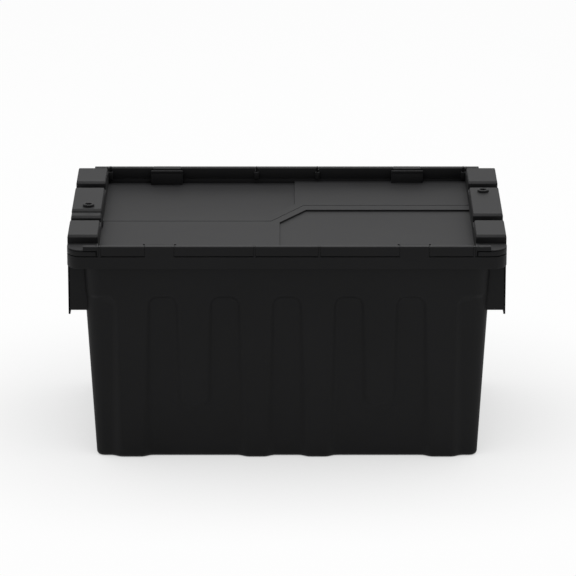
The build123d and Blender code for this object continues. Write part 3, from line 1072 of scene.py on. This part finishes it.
@dataclass
class HandGrip:
    """Grip under the rim at one end: a skirt on webs, open below, with a gap for the fingers."""

    side: int
    tub: Tub
    plan: Plan = PLAN
    half: float = 165.0
    bottom: float = 213.0
    lip_drop: float = 6.5
    inner_web: float = 78.0
    gap_half: float = 66.0
    gap_top: float = 240.0
    gap_round: float = 18.0
    arch_step: float = 4.0

    def tub_surface(self, y: float, height: float, ribs: bool) -> float:
        """How far out the tub's end wall stands at a place, round its corner arc where it is past it."""
        base, spread = ((self.tub.rib_base, self.tub.rib_spread) if ribs
                        else (self.tub.panel_base, self.tub.panel_spread))
        start_x, start_y = self.tub.straight
        reach_x = self.tub.half_size(base, spread, 0, height) - start_x
        reach_y = self.tub.half_size(base, spread, 1, height) - start_y
        past = max(abs(y) - start_y, 0.0) / reach_y
        return start_x + reach_x * math.sqrt(1 - past ** 2)

    def build(self, material: bpy.types.Material) -> bpy.types.Object:
        """Builds the grip.

        Args:
            material: Finish of the grip.

        Returns:
            The grip's piece.
        """
        plan = self.plan
        piece = Moulding("left_hand_grip" if self.side < 0 else "right_hand_grip")
        low, top = self.bottom - self.lip_drop, plan.rim_bottom + LAP / 2
        shape = [(-self.half, low), (-self.gap_half, low), (-self.gap_half, self.gap_top),
                 (self.gap_half, self.gap_top), (self.gap_half, low), (self.half, low), (self.half, top),
                 (-self.half, top)]
        outline = Outline(shape, [1.0, 1.0, self.gap_round, self.gap_round, 1.0, 1.0, 1.0, 1.0], 8)
        near, far = sorted((self.side * (plan.half_length - plan.wall), self.side * plan.half_length))
        piece.plate(outline, near, far, edge=0.5, foot=0.5, raised=Raised.ALONG_X)
        arch = self.tub.channel_top
        for y in (self.inner_web, self.half - plan.wall / 2):
            levels = [(self.bottom, False), (arch - self.arch_step, False), (arch + self.arch_step, True),
                      (top, True)]
            inner = [(z, self.tub_surface(y, z, ribs) - plan.wall / 2) for z, ribs in levels]
            outer = plan.half_length - plan.wall / 2
            corners = [*inner, (top, outer), (self.bottom, outer)]
            corners = [(z, self.side * x) for z, x in corners]
            web = Outline(corners[::-1] if self.side > 0 else corners, 0.6)
            for place in (-y, y):
                piece.plate(web, place - plan.wall / 2, place + plan.wall / 2, edge=0.4, foot=0.4,
                            raised=Raised.ALONG_Y)
        return piece.finish("body", "body_plastic", "tote_body", material)


@dataclass
class HingeWire:
    """Straight steel wire through the knuckles of one long edge."""

    name: str
    side: int
    plan: Plan = PLAN
    half: float = 268.0
    radius: float = 1.5

    def build(self, material: bpy.types.Material) -> bpy.types.Object:
        """Builds the wire, a circle carried along the hinge, with eased ends.

        Args:
            material: Finish of the wire.

        Returns:
            The wire's piece.
        """
        piece = Moulding(self.name)
        section = circle_outline(self.side * self.plan.hinge_y, self.plan.hinge_height, self.radius)
        piece.plate(section, -self.half, self.half, edge=0.4, foot=0.4, raised=Raised.ALONG_X)
        return piece.finish("body", "hinge_steel", self.name.removesuffix("_rod"), material)


# Studio


def seen_share(nodes: Nodes) -> bpy.types.NodeSocket:
    """Tells rays by which something is seen from rays by which it lights.

    Args:
        nodes: Node tree to add to.

    Returns:
        Socket that is 1 for camera, glossy and transmission rays and 0 for the rest.
    """
    path = nodes.add("ShaderNodeLightPath")
    share = path["Is Camera Ray"]
    for kind in ("Is Glossy Ray", "Is Transmission Ray"):
        share = nodes.add("ShaderNodeMath", {0: share, 1: path[kind]}, operation="MAXIMUM")["Value"]
    return share


@dataclass
class Studio:
    """White photo studio: floor, soft lights and the camera of the photograph."""

    elevation: float = math.radians(17.9)
    distance: float = 6.054
    focal_px: float = 4279.0
    frame_px: int = 576
    sensor: float = 36.0
    aim: tuple[float, float, float] = (0.0015, 0.0, 0.1921)
    look_at: tuple[float, float, float] = (0.0, 0.0, 0.150)
    floor_half: float = 6.0
    floor_tone: float = 0.93
    floor_roughness: float = 0.9
    floor_seen: float = 0.985
    floor_share: float = 0.965
    # Reach and strength of the shadow painted into the floor's seen colour.
    shadow_reach: float = 0.35
    shadow_depth: float = 0.37
    top_light: float = 92.0
    top_height: float = 2.6
    top_back: float = 0.5
    top_size: float = 2.4
    sky: float = 0.2
    room_seen: float = 0.98

    def floor(self) -> bpy.types.Object:
        """Lays the pale floor.

        Seen straight, mirrored or through something it is near white, by its own plain colour with a
        painted shadow: that colour is darkened where the object shuts out the open sky. It is mixed
        with a little of the lit floor, whose real shadow stays. Every other ray meets the lit floor.

        Returns:
            The floor.
        """
        corner = self.floor_half
        mesh = bpy.data.meshes.new("studio_floor")
        corners = [(-corner, -corner, 0), (corner, -corner, 0), (corner, corner, 0), (-corner, corner, 0)]
        mesh.from_pydata(corners, [], [(0, 1, 2, 3)])
        floor = link_object("studio_floor", mesh)
        material = bpy.data.materials.new("pale_floor")
        mesh.materials.append(material)
        nodes = Nodes(material)
        lit = nodes["Principled BSDF"]
        nodes.feed(lit, {"Base Color": grey(self.floor_tone), "Roughness": self.floor_roughness,
                         "Specular IOR Level": 0.0})
        share = nodes.add("ShaderNodeMath", {0: seen_share(nodes), 1: self.floor_share},
                          operation="MULTIPLY")["Value"]
        # Painted shadow: the floor's seen colour is dimmed by how much open sky the object shuts out.
        open_sky = nodes.add("ShaderNodeAmbientOcclusion", {"Distance": self.shadow_reach}, samples=16)["AO"]
        painted_shadow = nodes.add("ShaderNodeMath", {0: open_sky, 1: self.shadow_depth},
                             operation="POWER")["Value"]
        seen = nodes.add("ShaderNodeEmission", {"Color": grey(self.floor_seen),
                                                "Strength": painted_shadow})["Emission"]
        mix = nodes.add("ShaderNodeMixShader", {"Fac": share, 1: lit.outputs["BSDF"], 2: seen})["Shader"]
        nodes.feed(nodes["Material Output"], {"Surface": mix})
        return floor

    def light(self) -> None:
        """Hangs one wide soft light above and fills the room with even light.

        The room is near white where it is seen or mirrored, and dimmer as a light.
        """
        lamp = bpy.data.lights.new("top_light", "AREA")
        lamp.shape = "SQUARE"
        lamp.size = self.top_size
        lamp.energy = self.top_light
        link_object("top_light", lamp).location = (0.0, self.top_back, self.top_height)
        world = bpy.data.worlds.new("studio")
        bpy.context.scene.world = world
        nodes = Nodes(world)
        fill = nodes["Background"]
        nodes.feed(fill, {"Color": grey(1.0), "Strength": self.sky})
        seen = nodes.add("ShaderNodeBackground", {"Color": grey(self.room_seen), "Strength": 1.0})
        mix = nodes.add("ShaderNodeMixShader", {"Fac": seen_share(nodes), 1: fill.outputs["Background"],
                                                2: seen["Background"]})["Shader"]
        nodes.feed(nodes["World Output"], {"Surface": mix})

    def camera(self) -> None:
        """Sets up the photograph's camera: long lens, straight on, looking slightly down."""
        data = bpy.data.cameras.new("camera")
        data.sensor_width = self.sensor
        data.lens = self.focal_px / self.frame_px * self.sensor
        data.clip_end = 100.0
        camera = link_object("camera", data)
        back = Vector((0.0, -math.cos(self.elevation), math.sin(self.elevation)))
        camera.location = Vector(self.look_at) + back * self.distance
        camera.rotation_mode = "QUATERNION"
        camera.rotation_quaternion = (Vector(self.aim) - camera.location).to_track_quat("-Z", "Y")
        bpy.context.scene.camera = camera


def main() -> None:
    """Builds the tote's sub-assemblies in order and sets the studio round them."""
    logging.basicConfig(level=logging.INFO, format="%(message)s")
    bpy.context.scene.view_settings.view_transform = "Standard"
    body_plastic = MouldedPlastic("body_plastic").build()
    lid_plastic = MouldedPlastic("lid_plastic").build()
    steel = DrawnWire("hinge_steel").build()
    tub = Tub()
    tub.build(body_plastic)
    Rim().build(body_plastic)
    for side in (-1, 1):
        HandGrip(side, tub).build(body_plastic)
    HingeWire("front_hinge_wire_rod", -1).build(steel)
    HingeWire("rear_hinge_wire_rod", 1).build(steel)
    rear = LidHalf(Facing.REAR, "rear_lid", edge=(-10.25, 67.75), step=(-22.0, 24.0), seam=11.0,
                   level_step=3.0, deck_ends=(-44.75, 69.25), seal_y=-28.0, stubbed=False)
    front = LidHalf(Facing.FRONT, "front_lid", edge=(-66.25, 11.75), step=(-24.0, 22.0), seam=10.0,
                    level_step=2.6, deck_ends=(-67.75, 46.25), seal_y=-44.0, stubbed=True)
    rear.build(lid_plastic)
    front.build(lid_plastic)
    studio = Studio()
    studio.floor()
    studio.light()
    studio.camera()


if __name__ == "__main__":
    main()
